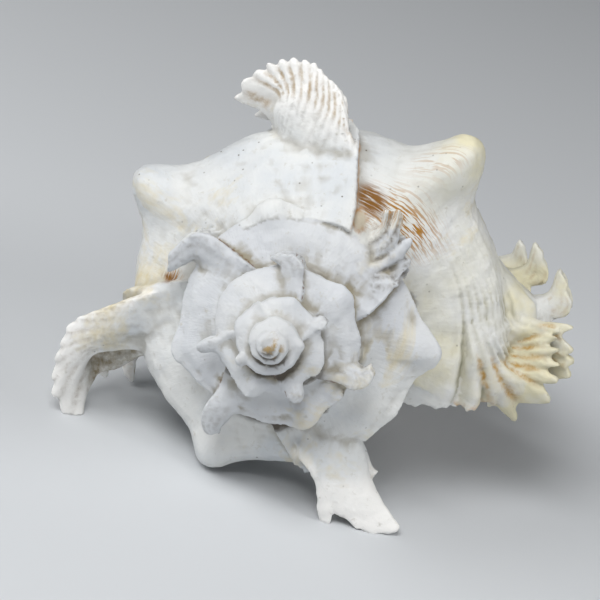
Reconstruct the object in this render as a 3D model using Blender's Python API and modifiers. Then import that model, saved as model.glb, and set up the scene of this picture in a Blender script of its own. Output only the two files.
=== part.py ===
"""Ramose murex shell: one solid shell with its knobs, leafy fronds, open mouth and canal."""
import math

import bmesh
import bpy
import numpy as np
from mathutils import Matrix, Vector

# Sizes are in millimetres in the shell's own frame: the apex is the origin, the coiling axis
# runs down -Z, and an angle is counted back from the growing lip, towards the older whorls.
SHOULDER_RADIUS = 58.0
GROWTH_PER_TURN = 1.663
OLDEST_ANGLE = 2200.0
ANGLE_STEP = 3.0
AXIS_CORE = 0.02
AXIS_STRIDE = 8
CAVITY_END = 250.0
CAVITY_OVERLAP = 8.0

# The whorl's outer profile as (distance from the axis, depth below the apex), both as shares of
# the shoulder radius: suture, ramp, shoulder, side, base and the start of the canal.
PROFILE = ((0.50, 0.72), (0.62, 0.80), (0.74, 0.85), (0.86, 0.915), (0.955, 0.99), (1.0, 1.07),
           (1.005, 1.19), (0.99, 1.36), (0.955, 1.57), (0.88, 1.79), (0.75, 1.99), (0.58, 2.17),
           (0.40, 2.34), (0.24, 2.52), (0.10, 2.75))
SHOULDER = 5 / 14
PROFILE_STEPS = 81
NORMAL_STEP = 0.004

# Angle by which a lip edge runs ahead (-) or back (+) of its shoulder point, along the profile.
LIP_LINE = ((0.0, -20.0), (0.10, -14.0), (0.22, -6.0), (0.357, 0.0), (0.45, 8.0), (0.55, 14.0),
            (0.68, 19.0), (0.80, 24.0), (0.88, 36.0), (1.0, 80.0))
LIP_EDGE = -25.0

# The wall's thickness at the lip and behind it, and how much the base thickens, from one share
# of the profile to another.
LIP_WALL = 2.2
WALL = 3.2
LIP_TAPER = 25.0
BASE_EXTRA = 9.0
BASE_SHARES = (0.78, 0.95)
WALL_STEPS = 141

# Angles of the old lips' edges at the shoulder. A varix rises behind each one, to a share of the
# shoulder radius there, and falls away over its slope's angle.
OLD_LIPS = (73.0, 174.0, 276.0, 385.0, 489.0, 588.0, 686.0, 792.0, 904.0, 1006.0, 1098.0, 1190.0)
VARIX_HEIGHT = 0.075
VARIX_SLOPE = 24.0
VARIX_FALL = 1.7
VARIX_START = 0.08

# Knobs between the varices: angle and height as a share of the shoulder radius there, then their
# half widths along the growth in degrees and up and down the profile, their blunt form, and the
# low skirt around each, as a share of its height and a multiple of its width.
KNOBS = ((43.0, 0.24), (138.5, 0.23), (240.5, 0.17), (350.0, 0.16), (456.0, 0.12), (553.0, 0.12),
         (648.0, 0.12), (752.0, 0.09), (856.0, 0.08), (964.0, 0.08), (1060.0, 0.07))
KNOB_ALONG = 5.6
KNOB_ABOVE = 0.07
KNOB_BELOW = 0.05
KNOB_CORE = 0.82
KNOB_SKIRT = 0.2
KNOB_SKIRT_WIDTH = 2.0
KNOB_BLUNTNESS = 2.3

# Fronds reach no deeper into the wall than this, so that the hollow stays smooth.
ROOT_DEPTH = 1.6
STEPS_PER_FOLD = 8
FROND_STEPS = 33
FROND_WALL = (3.0, 1.5)
SMALL_WALL = (2.6, 1.3)
LOWER_REACH = 0.85
# Powers that fade a frond's teeth towards its two edges and its folds towards the root.
TOOTH_FADE = 0.3
FOLD_FADE = 0.6

COLUMELLA_PATH = ((0, 0, -62), (0, 0, -85), (-1, -2, -106), (-3, -4, -126), (-6, -7, -144), (-5, -11, -160))
COLUMELLA_RADII = (19.0, 13.0, 10.5, 9.5, 6.5, 4.0)

# The canal is a tube with a slit: outer and inner radius and half the slit's angle at each point.
CANAL_PATH = ((8, -6, -122), (8, -7, -132), (5, -8, -144), (3, -8, -158), (1, -7, -174), (-2, -3, -190),
              (-6, 5, -207))
CANAL_RADII = ((24.0, 23.0), (20.0, 16.0), (15.5, 10.5), (12.5, 6.5), (10.5, 4.5), (8.8, 3.5), (7.0, 2.6))
CANAL_SLIT = (112.0, 92.0, 60.0, 32.0, 22.0, 20.0, 22.0)
MOUTH_BEARING = -115.0
STEPS_PER_POINT = 8
ROUND_STEPS = 24

# Broken ends of the older canals: path and radii.
OLD_CANALS = ((((0, 4, -112), (-6, 6, -134), (-15, 9, -152), (-25, 11, -163)), (10.0, 8.5, 6.5, 4.0)),
              (((0, 0, -92), (-8, -4, -110), (-17, -8, -122), (-27, -12, -128)), (10.0, 8.0, 6.0, 3.5)))

# The large fronds' ribs, see frond().
TOP_RIBS = ((0, ((-8, -13, 9), (-8.5, -8, 9), (-8.5, -4, 9), (-8, 0, 9))),
            (0.12, ((-4.5, -11, 8), (-6.5, -4, 9), (-7, 3, 9), (-6.5, 10.5, 9))),
            (0.25, ((1, -9, 6), (-3, -1, 8), (-4, 7, 8.5), (-1.5, 15.5, 8.5))),
            (0.35, ((5, -7, 4), (2.5, 2, 6.5), (3, 11, 7), (6, 19, 7))),
            (0.43, ((8, -5, 2), (7.5, 3, 4.5), (9.5, 10.5, 5), (16, 16, 5))),
            (0.47, ((10, -4, 0), (9.5, 3.5, 2.5), (12, 8.5, 3), (22, 10.5, 2.5))),
            (0.5, ((12, -3, -2), (13.5, 1.2, -1.5), (17.5, 4, -1), (24, 5.5, -0.5))))
LEFT_RIBS = ((0, ((-10, -12, 9), (-10, -9, 9), (-9.5, -6, 9), (-9, -3, 9))),
             (0.12, ((-6, -10, 8), (-7, -3, 8.5), (-6, 3, 8.5), (-5.5, 8, 8))),
             (0.25, ((-1, -8, 6), (-2.5, 1, 7.5), (-2, 9, 7.5), (-1.5, 17, 7))),
             (0.35, ((3, -6, 4), (2.5, 5, 6), (4, 13, 6), (6.5, 21, 5))),
             (0.43, ((6, -4, 2.5), (5.5, 7, 4.5), (8.5, 16, 4.5), (16, 24.5, 3))),
             (0.47, ((7, -3, 1), (7, 7, 3), (10.5, 15, 3), (23, 22.5, 1))),
             (0.5, ((10, -2.5, -3), (12.3, 8, -2.5), (15, 14.5, -2.5), (28, 19, -2))))
BOTTOM_RIBS = ((0, ((-8, -9, 7), (-8.5, -6, 7), (-9, -3.5, 7), (-9, -2, 7))),
               (0.1, ((-5, -8, 6.5), (-6.5, -3, 6.5), (-7, 1, 6.5), (-6.6, 4, 6))),
               (0.2, ((-2, -7, 5), (-5, 2, 6), (-7, 9, 6), (-9.5, 18, 4.5))),
               (0.3, ((1, -6, 4), (-1.5, 4, 5), (-3, 11, 4.5), (-5, 18, 4))),
               (0.4, ((4, -5, 2.5), (1.5, 5, 3), (0.5, 13, 3), (0, 23.5, 2.5))),
               (0.46, ((5.5, -4, 1), (4, 6, 1.5), (3.5, 14, 1.5), (4.5, 26, 0.5))),
               (0.5, ((7.5, -2.5, -1.5), (5.6, 6, -1.5), (5.2, 14, -1.5), (8.7, 25.5, -1))))
LIP_RIBS = ((0, ((4, -14, 9), (-3, -12, 8), (-8, -8, 6), (-12, -5, 4))),
            (0.12, ((9, -9, 7), (1, -6, 5), (-6, -1, 3), (-14, 7, 0))),
            (0.22, ((13, -6, 5), (5, -2, 4), (-2, 3, 2.5), (-8, 10.5, 0.5))),
            (0.3, ((15, -4, 3.5), (8, 0, 3), (1, 6, 2), (-5.9, 15, 0))),
            (0.38, ((16, -3, 2.5), (9.5, 1, 2.5), (4, 8, 1.5), (-0.5, 15.5, 0))),
            (0.44, ((17, -2.5, 1.5), (11, 2, 2), (6.5, 9, 1), (3, 18, 0))),
            (0.5, ((18, -2.5, 0), (13, 2, 1), (9, 9, 0), (8, 17.5, -1))),
            (0.58, ((17, -2.5, -4), (14, 2.5, -3), (12, 8, -3.5), (13.5, 14.5, -4))),
            (0.66, ((13, -2, -8), (12, 2, -8), (11, 7, -8.5), (11, 13, -9))),
            (0.8, ((4, -2, -12), (3, 1, -12.5), (2, 5, -13), (1, 10, -14))),
            (1, ((-8, -2, -16), (-9, 0, -16.5), (-10, 1, -17), (-10, 2, -18))))
UPPER_RIBS = ((0, ((-5, -10, 5), (-6, -9, 5), (-7, -8, 4.5), (-7, -7, 4))),
              (0.15, ((-1, -8, 4), (-3, -4, 4.5), (-4.5, -1, 4), (-4.5, 2, 4))),
              (0.28, ((2, -6, 3), (0, -2, 4), (-1.5, 2, 4), (-2.3, 5.8, 3.5))),
              (0.38, ((4, -5, 2), (3, -1, 3.5), (2, 4, 4), (2.5, 8, 4))),
              (0.45, ((6, -4, 1), (5.5, 0, 2.5), (5.5, 5, 3.5), (8, 11, 4))),
              (0.5, ((8, -3, -1), (8.5, 1, 1), (9.5, 4.5, 2.5), (12.5, 8.5, 3.5))))

# The smaller fronds: angle, share of the profile, length, width and how far the tip bends back
# as a share of the length.
SMALL_FRONDS = ((493, SHOULDER, 11, 8.5, 0.55), (592, SHOULDER, 10, 8, 0.3), (690, SHOULDER, 7, 6, 0.3),
                (797, SHOULDER, 6, 5, 0.6), (908, SHOULDER, 6, 4, 0.2), (1009, SHOULDER, 4, 3.5, 0.2),
                (1100, SHOULDER, 3, 2.5, 0.3), (-3, 0.50, 16, 9, 0.3), (1, 0.643, 15, 9, 0.5),
                (3, 0.72, 16, 7, 0.4), (90, 0.50, 11, 8, 0.6), (94, 0.62, 12, 7, 0.7),
                (98, 0.73, 13, 6, 0.6), (191, 0.50, 10, 7, 0.6), (196, 0.62, 11, 6, 0.6),
                (200, 0.73, 11, 5, 0.6), (293, 0.50, 9, 6, 0.6), (298, 0.62, 9, 5.5, 0.6))
SMALL_FOLDS = 4
SMALL_ROOT = 1.8
# Height of a small frond's folds as a share of its width, and of its teeth as one of its length.
SMALL_FOLD = 0.03
SMALL_TOOTH = 0.05

MM = 0.001
# The three points that the shell rests on, the depth they are worn flat, and the plan's centre.
CONTACTS = ((9.8, -53.1, -49.0), (-61.2, -31.1, -50.2), (-1.1, -15.0, -183.1))
TRIM = 0.5
CENTRE = (9.05, 102.77)

VOXEL = 1.2
TRIANGLES = 9600
COLOUR = (0.80, 0.77, 0.71, 1.0)
ROUGHNESS = 0.6


def spline(points, at):
    """Reads a smooth curve through the points (position first) at the positions given."""
    points = np.array(points, float)
    x, y = points[:, 0], points[:, 1:]
    slope = np.gradient(y, x, axis=0)
    i = np.clip(np.searchsorted(x, at, side="right") - 1, 0, len(x) - 2)
    width = (x[i + 1] - x[i])[..., None]
    t = np.clip((at - x[i])[..., None] / width, 0.0, 1.0)
    start = y[i] * (2 * t**3 - 3 * t**2 + 1) + slope[i] * width * (t**3 - 2 * t**2 + t)
    return start + y[i + 1] * (3 * t**2 - 2 * t**3) + slope[i + 1] * width * (t**3 - t**2)


def even_spline(points, at):
    """The same for points without a position: they are spaced evenly from 0 to 1."""
    points = np.array(points, float).reshape(len(points), -1)
    return spline(np.column_stack([np.linspace(0.0, 1.0, len(points)), points]), at)


def unit(vectors):
    return vectors / np.maximum(np.linalg.norm(vectors, axis=-1, keepdims=True), 1e-9)


def normal_of(points):
    return unit(np.cross(np.gradient(points, axis=0), np.gradient(points, axis=1)))


def radius_at(angle):
    return SHOULDER_RADIUS * GROWTH_PER_TURN ** (-angle / 360.0)


def outward(share):
    """The profile's outward normal as (distance from the axis, depth)."""
    ahead = even_spline(PROFILE, np.minimum(share + NORMAL_STEP, 1.0))
    step = ahead - even_spline(PROFILE, np.maximum(share - NORMAL_STEP, 0.0))
    return unit(np.stack([step[..., 1], -step[..., 0]], -1))


def on_whorl(angle, share, lift):
    """Points of the whorl's surface, lifted along the profile's outward normal."""
    place = even_spline(PROFILE, share) * radius_at(angle)[..., None] + outward(share) * lift[..., None]
    turn = np.radians(angle)
    return np.stack([place[..., 0] * np.cos(turn), place[..., 0] * np.sin(turn), -place[..., 1]], -1)


def blunt(distance):
    return np.exp(-0.5 * distance**KNOB_BLUNTNESS)


def relief(angle, share):
    """Height in mm of the knobs and varices above the plain whorl."""
    height = np.zeros(angle.shape)
    for where, high in KNOBS:
        across = (share - SHOULDER) / np.where(share < SHOULDER, KNOB_ABOVE, KNOB_BELOW)
        distance = np.hypot((angle - where) / KNOB_ALONG, across)
        height += high * (KNOB_CORE * blunt(distance) + KNOB_SKIRT * blunt(distance / KNOB_SKIRT_WIDTH))
    back = spline(LIP_LINE, share)[..., 0]
    for edge in OLD_LIPS:
        behind = angle - edge - back
        slope = np.clip(1.0 - behind / VARIX_SLOPE, 0.0, 1.0) ** VARIX_FALL
        height += np.where(behind > 0.0, VARIX_HEIGHT * slope, 0.0) * np.clip(share / VARIX_START, 0.0, 1.0)
    return height * radius_at(angle)


def closed_loft(loops):
    """A solid through closed loops (loops x points x 3), capped at both ends."""
    points = np.concatenate([loops, loops[:, :1]], axis=1)
    rows, columns = points.shape[:2]
    bm = bmesh.new()
    bmesh.ops.create_grid(bm, x_segments=columns - 1, y_segments=rows - 1, size=1.0)
    for vert, place in zip(bm.verts, points.reshape(-1, 3)):
        vert.co = place
    bmesh.ops.remove_doubles(bm, verts=bm.verts, dist=1e-5)
    bmesh.ops.holes_fill(bm, edges=[edge for edge in bm.edges if edge.is_boundary], sides=0)
    bmesh.ops.recalc_face_normals(bm, faces=bm.faces)
    return bm


def spire():
    """The older whorls, solid to the axis."""
    steps = np.arange(CAVITY_END - CAVITY_OVERLAP, OLDEST_ANGLE, ANGLE_STEP)
    angle, share = np.meshgrid(steps, np.linspace(0.0, 1.0, PROFILE_STEPS), indexing="ij")
    outer = on_whorl(angle, share, relief(angle, share))
    axis = outer[:, ::-AXIS_STRIDE] * (AXIS_CORE, AXIS_CORE, 1.0)
    return closed_loft(np.concatenate([outer, axis], axis=1))


def last_whorl():
    """The wall of the last whorl, from the lip back to the end of the open hollow."""
    steps = np.linspace(0.0, 1.0, WALL_STEPS)
    along, share = np.meshgrid(steps, np.linspace(0.0, 1.0, PROFILE_STEPS), indexing="ij")
    lip = LIP_EDGE + spline(LIP_LINE, share)[..., 0]
    angle = lip + (CAVITY_END - lip) * along
    outer = on_whorl(angle, share, relief(angle, share))
    wall = LIP_WALL + (WALL - LIP_WALL) * np.clip((angle - lip) / LIP_TAPER, 0.0, 1.0)
    wall += BASE_EXTRA * np.clip((share - BASE_SHARES[0]) / (BASE_SHARES[1] - BASE_SHARES[0]), 0.0, 1.0)
    inner = on_whorl(angle, share, -wall)
    return closed_loft(np.concatenate([outer, inner[:, ::-1]], axis=1))


def rings(path, front, turns):
    """Centres along a path and, around each, unit vectors at the turns from the front."""
    at = np.linspace(0.0, 1.0, len(turns))
    centres = even_spline(path, at)
    along = unit(np.gradient(centres, axis=0))
    ahead = unit(front - along * (along @ front)[:, None])
    side = np.cross(along, ahead)
    spokes = ahead[:, None] * np.cos(turns)[..., None] + side[:, None] * np.sin(turns)[..., None]
    return at, centres[:, None], spokes


def rod(path, radii):
    """A solid round loft along a path."""
    turns = np.tile(np.arange(ROUND_STEPS) * 2 * np.pi / ROUND_STEPS, (STEPS_PER_POINT * len(path), 1))
    at, centres, spokes = rings(path, np.array((0.0, -1.0, 0.0)), turns)
    return closed_loft(centres + spokes * even_spline(radii, at)[:, None])


def canal():
    """The siphonal canal, a tube that is open along the side of the mouth."""
    bearing = math.radians(MOUTH_BEARING)
    at = np.linspace(0.0, 1.0, STEPS_PER_POINT * len(CANAL_PATH))
    gap = even_spline(CANAL_SLIT, at)
    turns = np.radians(gap + (360.0 - 2 * gap) * np.linspace(0.0, 1.0, ROUND_STEPS + 5))
    at, centres, spokes = rings(CANAL_PATH, np.array((math.cos(bearing), math.sin(bearing), 0.0)), turns)
    radii = even_spline(CANAL_RADII, at)[:, None]
    return closed_loft(np.concatenate([centres + spokes * radii[..., :1],
                                       (centres + spokes * radii[..., 1:])[:, ::-1]], axis=1))


def above_root(points, angle):
    """Lifts the points of a frond that lie too deep in the whorl's wall."""
    share = np.linspace(0.0, 1.0, 2 * PROFILE_STEPS)
    turn = np.degrees(np.arctan2(points[..., 1], points[..., 0]))
    size = radius_at(angle + (turn - angle + 180.0) % 360.0 - 180.0)
    here = np.stack([np.hypot(points[..., 0], points[..., 1]), -points[..., 2]], -1)
    offset = here[..., None, :] - even_spline(PROFILE, share) * size[..., None, None]
    nearest = np.argmin(np.linalg.norm(offset, axis=-1), axis=-1)
    normal = outward(share)[nearest]
    depth = -np.sum(np.take_along_axis(offset, nearest[..., None, None], -2)[..., 0, :] * normal, -1)
    moved = normal * np.maximum(depth - ROOT_DEPTH, 0.0)[..., None]
    turn = np.radians(turn)
    return points + np.stack([moved[..., 0] * np.cos(turn), moved[..., 0] * np.sin(turn), -moved[..., 1]], -1)


def frond(angle, share, ribs, folds, fold_height, teeth, thickness):
    """A leafy frond: a folded sheet that fans out from the varix to a toothed rim.

    Each rib is its place across the sheet (0 at the apical edge, 1 at the canal edge) and its
    points from root to rim, in mm back, out and up from the whorl at that angle and share.
    """
    across = np.linspace(0.0, 1.0, folds * STEPS_PER_FOLD + 1)
    along = np.linspace(0.0, 1.0, FROND_STEPS)
    table = np.array([[(place, *point) for point in points] for place, points in ribs])
    lines = np.stack([spline(table[:, i], across) for i in range(table.shape[1])])
    wave = np.cos(2 * np.pi * folds * across)
    reach = teeth * wave * np.sin(np.pi * across) ** TOOTH_FADE
    lines[-1] += unit(lines[-1] - lines[-2]) * reach[:, None]
    points = even_spline(lines, along).reshape(len(along), len(across), 3)
    points += normal_of(points) * fold_height * wave[:, None] * along[:, None, None] ** FOLD_FADE
    turn = math.radians(angle)
    axes = ((-math.sin(turn), math.cos(turn), 0.0), (math.cos(turn), math.sin(turn), 0.0), (0.0, 0.0, 1.0))
    root = on_whorl(np.array(float(angle)), np.array(share), np.array(0.0))
    points = above_root(root + points @ np.array(axes), angle)
    half = normal_of(points) * (thickness[0] + (thickness[1] - thickness[0]) * along)[:, None, None] / 2
    return closed_loft(np.concatenate([points + half, (points - half)[:, ::-1]], axis=1))


def mirrored(ribs):
    """Adds the canal-side wall: the apical wall's ribs turned over about the fold's bottom."""
    bottom = np.array(ribs[-1][1], float)
    lower = []
    for place, points in reversed(ribs[:-1]):
        points = np.array(points, float)
        points[:, 1] *= LOWER_REACH
        points[:, 2] = 2 * bottom[:, 2] - points[:, 2]
        lower.append((1.0 - place, points))
    return tuple(ribs) + tuple(lower)


def small_frond(angle, share, length, width, curl):
    """A short frond with a trough like the large ones and a tip that bends back."""
    root = -SMALL_ROOT / length
    half = ((0, ((-0.5, root, 0.6), (-0.55, 0.2, 0.6), (-0.55, 0.35, 0.6), (-0.5, 0.55, 0.65))),
            (0.25, ((-0.2, root, 0.55), (-0.3, 0.3, 0.55), (-0.3, 0.6, 0.55), (-0.2, 0.9, 0.6))),
            (0.42, ((0.3, root, 0.3), (0.2, 0.4, 0.3), (0.35, 0.8, 0.3), (0.5 + curl, 1.0, 0.25))),
            (0.5, ((0.45, root, 0), (0.4, 0.35, 0), (0.6 + 0.3 * curl, 0.65, 0),
                   (0.6 + 1.4 * curl, 0.85, 0))))
    size = (width, length, width)
    ribs = [(place, np.array(points) * size) for place, points in half]
    return frond(angle, share, mirrored(ribs), SMALL_FOLDS, SMALL_FOLD * width, SMALL_TOOTH * length, SMALL_WALL)


def fronds():
    large = [frond(83.0, SHOULDER, mirrored(TOP_RIBS), 10, 0.6, 1.0, FROND_WALL),
             frond(184.0, SHOULDER, mirrored(LEFT_RIBS), 9, 0.6, 1.0, FROND_WALL),
             frond(290.0, SHOULDER, mirrored(BOTTOM_RIBS), 7, 0.35, 0.7, FROND_WALL),
             frond(-15.0, SHOULDER, LIP_RIBS, 10, 0.8, 1.2, FROND_WALL),
             frond(392.0, SHOULDER, mirrored(UPPER_RIBS), 7, 0.8, 0.6, SMALL_WALL)]
    return large + [small_frond(*row) for row in SMALL_FRONDS]


def skin(shapes):
    """One closed skin around all the overlapping shapes, thinned to a light mesh."""
    whole = bmesh.new()
    for shape in shapes:
        piece = bpy.data.meshes.new("piece")
        shape.to_mesh(piece)
        shape.free()
        whole.from_mesh(piece)
        bpy.data.meshes.remove(piece)
    coarse = bpy.data.meshes.new("coarse")
    whole.to_mesh(coarse)
    whole.free()
    holder = bpy.data.objects.new("holder", coarse)
    bpy.context.scene.collection.objects.link(holder)
    remesh = holder.modifiers.new("Remesh", "REMESH")
    remesh.mode = "VOXEL"
    remesh.voxel_size = VOXEL
    depsgraph = bpy.context.evaluated_depsgraph_get()
    quads = len(holder.evaluated_get(depsgraph).data.polygons)
    decimate = holder.modifiers.new("Decimate", "DECIMATE")
    decimate.ratio = TRIANGLES / (2 * quads)
    depsgraph.update()
    mesh = bpy.data.meshes.new_from_object(holder.evaluated_get(depsgraph))
    bpy.data.objects.remove(holder)
    bpy.data.meshes.remove(coarse)
    return mesh


def resting_matrix():
    """Turns the shell to lie on its three contact points, apex towards -Y, with Z up."""
    frond_tip, left_tip, canal_rim = (Vector(point) for point in CONTACTS)
    up = (canal_rim - frond_tip).cross(left_tip - frond_tip).normalized()
    sideways = up.cross(Vector((0.0, 0.0, -1.0)))
    forward = sideways.cross(up).normalized()
    turn = Matrix((forward.cross(up), forward, up)).to_4x4()
    floor = up.dot(frond_tip) + TRIM
    return Matrix.Translation((-CENTRE[0], -CENTRE[1], -floor)) @ turn


def lay_down(mesh):
    """Moves the mesh to its resting place and trims the tips that touch the surface flat."""
    bm = bmesh.new()
    bm.from_mesh(mesh)
    bmesh.ops.transform(bm, matrix=resting_matrix(), verts=bm.verts)
    bmesh.ops.scale(bm, vec=(MM, MM, MM), verts=bm.verts)
    whole = bm.verts[:] + bm.edges[:] + bm.faces[:]
    cut = bmesh.ops.bisect_plane(bm, geom=whole, dist=1e-7, plane_co=(0, 0, 0), plane_no=(0, 0, -1),
                                 clear_outer=True)
    rims = [item for item in cut["geom_cut"] if isinstance(item, bmesh.types.BMEdge)]
    bmesh.ops.edgeloop_fill(bm, edges=rims)
    bmesh.ops.triangulate(bm, faces=[face for face in bm.faces if len(face.verts) > 3])
    bmesh.ops.recalc_face_normals(bm, faces=bm.faces)
    bm.to_mesh(mesh)
    bm.free()
    mesh.shade_smooth()


def build():
    for old in list(bpy.data.objects):
        bpy.data.objects.remove(old)
    shapes = [spire(), last_whorl(), rod(COLUMELLA_PATH, COLUMELLA_RADII), canal()]
    shapes += [rod(path, radii) for path, radii in OLD_CANALS]
    mesh = skin(shapes + fronds())
    lay_down(mesh)
    mesh.name = "shell"
    material = bpy.data.materials.new("shell")
    material.use_nodes = True
    surface = material.node_tree.nodes["Principled BSDF"]
    surface.inputs["Base Color"].default_value = COLOUR
    surface.inputs["Roughness"].default_value = ROUGHNESS
    mesh.materials.append(material)
    collection = bpy.data.collections.new("ramose_murex_shell")
    bpy.context.scene.collection.children.link(collection)
    collection.objects.link(bpy.data.objects.new("shell", mesh))


build()
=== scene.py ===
import math

import bmesh
import bpy
import numpy as np
from mathutils import Matrix, Vector, kdtree, noise


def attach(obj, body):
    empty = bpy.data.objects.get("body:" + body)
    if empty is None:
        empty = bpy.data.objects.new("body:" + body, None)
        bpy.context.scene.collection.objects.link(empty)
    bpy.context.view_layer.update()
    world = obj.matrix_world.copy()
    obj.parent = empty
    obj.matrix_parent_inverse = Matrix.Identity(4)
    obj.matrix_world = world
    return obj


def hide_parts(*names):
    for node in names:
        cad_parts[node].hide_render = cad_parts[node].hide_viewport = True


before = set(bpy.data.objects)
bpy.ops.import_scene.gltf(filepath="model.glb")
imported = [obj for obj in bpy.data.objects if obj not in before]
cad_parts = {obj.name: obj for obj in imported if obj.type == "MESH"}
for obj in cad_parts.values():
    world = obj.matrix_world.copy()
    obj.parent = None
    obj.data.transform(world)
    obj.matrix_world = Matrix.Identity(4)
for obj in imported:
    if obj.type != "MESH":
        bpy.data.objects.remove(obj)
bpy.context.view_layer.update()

# The whorls: one tube of chalky white aragonite, added at the lip, that widens by the same share each
# turn around its axis. Sizes are in millimetres, with the apex as the origin and the axis down -Z, and
# angles grow from just behind the lip's edge towards the older whorls.
SHOULDER_RADIUS = 58.0
GROWTH_PER_TURN = 1.663
OLDEST_ANGLE = 2200.0
CAVITY_END = 250.0

# The outer profile as (distance from the axis, depth below the apex), in shares of the
# shoulder radius, from the suture over the ramp, shoulder, side and base to the canal.
PROFILE = ((0.50, 0.79), (0.62, 0.845), (0.74, 0.885), (0.86, 0.93), (0.955, 0.99), (1.0, 1.07),
           (1.005, 1.19), (0.99, 1.36), (0.955, 1.57), (0.88, 1.79), (0.75, 1.99), (0.58, 2.17),
           (0.40, 2.34), (0.24, 2.52), (0.10, 2.75))

# A place on the profile is a share, counted evenly from point to point: the shoulder is the sixth
# point, and at the suture the whorl meets the one before it.
SHOULDER = 5 / (len(PROFILE) - 1)
SUTURE = 0.045

# The lip's folds: the share of the profile where they start and their spacing, each with what it
# gains as they spread towards the lip, and the degrees over which they spread.
FOLD_START = (0.194, 0.025)
FOLD_SPACING = (0.0225, 0.030)
FOLD_SPREAD = 17.0

# A lip edge isn't straight: along the profile it runs ahead (-) or back (+) of its shoulder. The
# growing lip and the old ones are given by their angles at the shoulder.
LIP_LINE = ((0.0, -20.0), (0.10, -14.0), (0.22, -6.0), (0.357, 0.0), (0.45, 8.0), (0.55, 14.0),
            (0.68, 19.0), (0.80, 24.0), (0.88, 36.0), (1.0, 80.0))
LIP_EDGE = -25.0
OLD_LIPS = (73.0, 174.0, 276.0, 385.0, 489.0, 588.0, 686.0, 792.0, 904.0, 1006.0, 1098.0, 1190.0)

# A ridge rises behind each old lip and falls away over its slope's degrees. Its height is a share of
# the radius there, and is more on the older whorls.
RIDGE_HEIGHT = 0.075
OLDER_RIDGE_HEIGHT = 0.10
RIDGE_SLOPE = 24.0

# Blunt knobs stand between the old lips: angle, and height as a share of the radius there. Half
# their width is in degrees along the whorl, and in shares of the profile on the ramp and below it.
KNOBS = ((44.0, 0.29), (138.5, 0.24), (240.5, 0.17), (350.0, 0.17), (456.0, 0.14), (553.0, 0.12),
         (648.0, 0.12), (752.0, 0.09), (856.0, 0.10), (964.0, 0.12), (1052.0, 0.10), (1150.0, 0.10),
         (1235.0, 0.10), (1330.0, 0.08), (1435.0, 0.16), (1530.0, 0.10))
KNOB_DEGREES = 5.6
KNOB_RAMP = 0.07
KNOB_SIDE = 0.05

# Other relief, as shares of the radius: the sharp shoulder and the hollow ramp of the older whorls,
# the lip's folds with what they gain at its edge, its flare, and the wear of the first whorls.
KEEL_HEIGHT = 0.075
HOLLOW_DEPTH = 0.055
FOLD_HEIGHT = 0.044
FOLD_GAIN = 0.036
FLARE_HEIGHT = 0.14
WEAR = 0.035

# How finely the older whorls are laid out, in degrees along them and places on the profile, and by
# how many degrees they reach into the last whorl.
DEGREES_PER_STEP = 1.2
PROFILE_STEPS = 241
OVERLAP = 8.0


def spline(points, at):
    """Reads a smooth curve through the points (position first) at the positions given."""
    points = np.array(points, float)
    x, y = points[:, 0], points[:, 1:]
    slope = np.gradient(y, x, axis=0)
    i = np.clip(np.searchsorted(x, at, side="right") - 1, 0, len(x) - 2)
    width = (x[i + 1] - x[i])[..., None]
    t = np.clip((at - x[i])[..., None] / width, 0.0, 1.0)
    start = y[i] * (2 * t**3 - 3 * t**2 + 1) + slope[i] * width * (t**3 - 2 * t**2 + t)
    return start + y[i + 1] * (3 * t**2 - 2 * t**3) + slope[i + 1] * width * (t**3 - t**2)


def even_spline(points, at):
    """The same for points without a position, spaced evenly from 0 to 1."""
    points = np.array(points, float).reshape(len(points), -1)
    return spline(np.column_stack([np.linspace(0.0, 1.0, len(points)), points]), at)


def unit(vectors):
    return vectors / np.maximum(np.linalg.norm(vectors, axis=-1, keepdims=True), 1e-9)


def normal_of(points):
    return unit(np.cross(np.gradient(points, axis=0), np.gradient(points, axis=1)))


def window(value, low, high, soft):
    """1 between low and high, falling smoothly to 0 over soft on each side."""
    rise = np.clip((value - low) / soft + 0.5, 0.0, 1.0) * np.clip((high - value) / soft + 0.5, 0.0, 1.0)
    return rise * rise * (3.0 - 2.0 * rise)


def waver(value, seed):
    """An uneven wave of about one cycle per unit, between -1 and 1."""
    value = value * 2.0 * np.pi
    return (np.sin(value + seed) + 0.7 * np.sin(0.61 * value + 2.3 * seed)
            + 0.5 * np.sin(1.73 * value + 4.1 * seed)) / 2.2


def radius_at(angle):
    return SHOULDER_RADIUS * GROWTH_PER_TURN ** (-angle / 360.0)


def outward(share):
    ahead = even_spline(PROFILE, np.minimum(share + 0.004, 1.0))
    step = ahead - even_spline(PROFILE, np.maximum(share - 0.004, 0.0))
    return unit(np.stack([step[..., 1], -step[..., 0]], -1))


def climb(angle, share):
    """How far the last whorl's ramp climbs up the whorl before it, over the last quarter turn."""
    ramp = np.clip(1.0 - (share - SUTURE) / 0.26, 0.0, 1.0) ** 1.3
    return 0.25 * ramp * window(angle, 30.0, 128.0, 50.0)


def on_whorl(angle, share, lift):
    """Points of the whorl's surface, lifted along the profile's outward normal."""
    place = even_spline(PROFILE, share) * radius_at(angle)[..., None] + outward(share) * lift[..., None]
    place[..., 1] -= climb(angle, share) * window(share, SUTURE, 2.0, 0.02) * radius_at(angle)
    turn = np.radians(angle)
    return np.stack([place[..., 0] * np.cos(turn), place[..., 0] * np.sin(turn), -place[..., 1]], -1)


def blunt(distance):
    return np.exp(-0.5 * distance**2.3)


def underside(angle, low, high):
    """1 between two bearings on the side that faces down in the photograph, on every whorl."""
    return window((angle - 60.0) % 360.0, low, high, 60.0)


def fold_lines(angle):
    """The share of the profile where the lip's folds start, and their spacing, at an angle."""
    ahead = np.clip(-angle / FOLD_SPREAD, 0.0, 1.6) ** 2
    return FOLD_START[0] + FOLD_START[1] * ahead, FOLD_SPACING[0] + FOLD_SPACING[1] * ahead


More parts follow.
